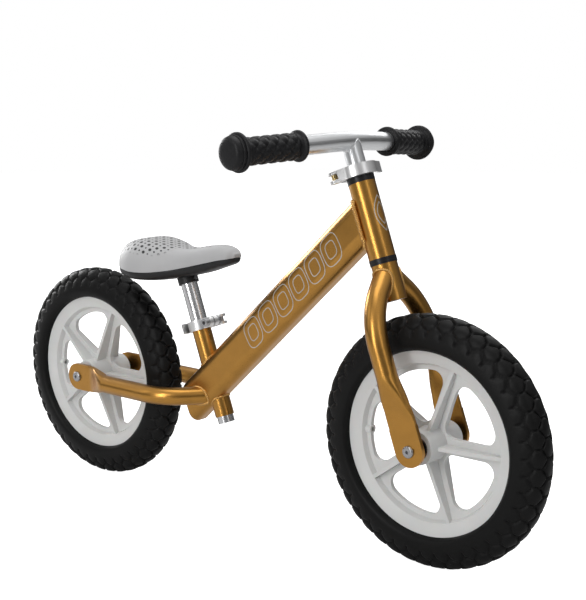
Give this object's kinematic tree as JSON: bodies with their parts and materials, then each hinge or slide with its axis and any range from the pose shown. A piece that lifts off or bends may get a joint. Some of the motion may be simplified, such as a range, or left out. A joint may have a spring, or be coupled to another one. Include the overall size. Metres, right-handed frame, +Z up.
{
  "type": "balance bike",
  "caption": "A child's balance bike with a gold alloy frame, white spoked wheels, black foam tyres, silver handlebar and a grey saddle on an adjustable post.",
  "frame": {"origin": "On the ground, midway between the two wheels' contact points, in the bike's plane of symmetry.", "axes": "+X forwards, +Y to the rider's left, +Z up. The bike stands upright on its two tyres."},
  "size_m": [0.8644, 0.3732, 0.5025],
  "materials": {
    "frame_gold": "satin anodised",
    "silver_alloy": "satin",
    "polished_alloy": "polished",
    "steel": "bright zinc",
    "brass_pin": "plain",
    "black_alloy": "satin black",
    "wheel_plastic": "satin",
    "tyre_foam": "matt foam",
    "grip_rubber": "matt",
    "saddle_foam": "matt soft skin",
    "black_plastic": "matt",
    "seal_rubber": "matt"
  },
  "bodies": {
    "frame": {"main_tube": "frame_gold", "head_tube": "frame_gold", "seat_tube": "frame_gold", "stay_left": "frame_gold", "stay_right": "frame_gold", "headset_lower_cup": "black_alloy", "headset_upper_cup": "black_alloy", "seat_clamp_collar": "polished_alloy", "seat_clamp_nut": "steel", "seat_clamp_skewer": "steel", "seat_clamp_washer": "steel", "seat_clamp_barrel": "steel", "rear_axle": "steel", "rear_axle_spacers": "black_alloy", "rear_axle_bolts": "steel", "rear_bearing_inner_rings": "steel", "rear_hub_sleeve": "steel"},
    "fork": {"fork_leg_left": "frame_gold", "fork_leg_right": "frame_gold", "fork_crown": "frame_gold", "fork_steerer": "steel", "headset_crown_race": "black_alloy", "headset_top_race": "black_alloy", "stem_clamp_collar": "polished_alloy", "stem_clamp_nut": "steel", "stem_clamp_skewer": "steel", "stem_clamp_washer": "steel", "stem_clamp_barrel": "brass_pin", "front_axle": "steel", "front_axle_spacers": "black_alloy", "front_axle_bolts": "steel", "front_bearing_inner_rings": "steel", "front_hub_sleeve": "steel"},
    "handlebar": {"handlebar": "silver_alloy", "stem": "silver_alloy", "grip_left": "grip_rubber", "grip_right": "grip_rubber"},
    "seat": {"seat_post": "polished_alloy", "saddle_base": "black_plastic", "saddle_pad": "saddle_foam", "saddle_bolt": "steel"},
    "seat_lever": {"seat_clamp_lever": "polished_alloy"},
    "stem_lever": {"stem_clamp_lever": "polished_alloy"},
    "front_wheel": {"front_rim": "wheel_plastic", "front_tyre": "tyre_foam", "front_bearing_outer_rings": "steel", "front_bearing_seals": "seal_rubber", "front_bearing_balls": "steel"},
    "rear_wheel": {"rear_rim": "wheel_plastic", "rear_tyre": "tyre_foam", "rear_bearing_outer_rings": "steel", "rear_bearing_seals": "seal_rubber", "rear_bearing_balls": "steel"}
  },
  "joints": [
    {"name": "steering", "type": "hinge", "parent": "frame", "child": "fork", "pos_m": [0.2822, 0, 0.15], "axis": [-0.342, 0, 0.9397], "continuous": true},
    {"name": "front_wheel_spin", "type": "hinge", "parent": "fork", "child": "front_wheel", "pos_m": [0.2822, 0, 0.15], "axis": [0, 1, 0], "continuous": true},
    {"name": "rear_wheel_spin", "type": "hinge", "parent": "frame", "child": "rear_wheel", "pos_m": [-0.2822, 0, 0.15], "axis": [0, 1, 0], "continuous": true},
    {"name": "handlebar_height", "type": "slide", "parent": "fork", "child": "handlebar", "axis": [-0.342, 0, 0.9397], "range_m": [-0.015, 0.045]},
    {"name": "seat_height", "type": "slide", "parent": "frame", "child": "seat", "axis": [-0.342, 0, 0.9397], "range_m": [-0.02, 0.08]},
    {"name": "seat_lever_release", "type": "hinge", "parent": "frame", "child": "seat_lever", "pos_m": [-0.06579, 0.018, 0.24877], "axis": [-0.342, 0, 0.9397], "range_deg": [-150, 0]},
    {"name": "stem_lever_release", "type": "hinge", "parent": "fork", "child": "stem_lever", "pos_m": [0.15099, -0.018, 0.44618], "axis": [-0.342, 0, 0.9397], "range_deg": [-150, 0]}
  ]
}
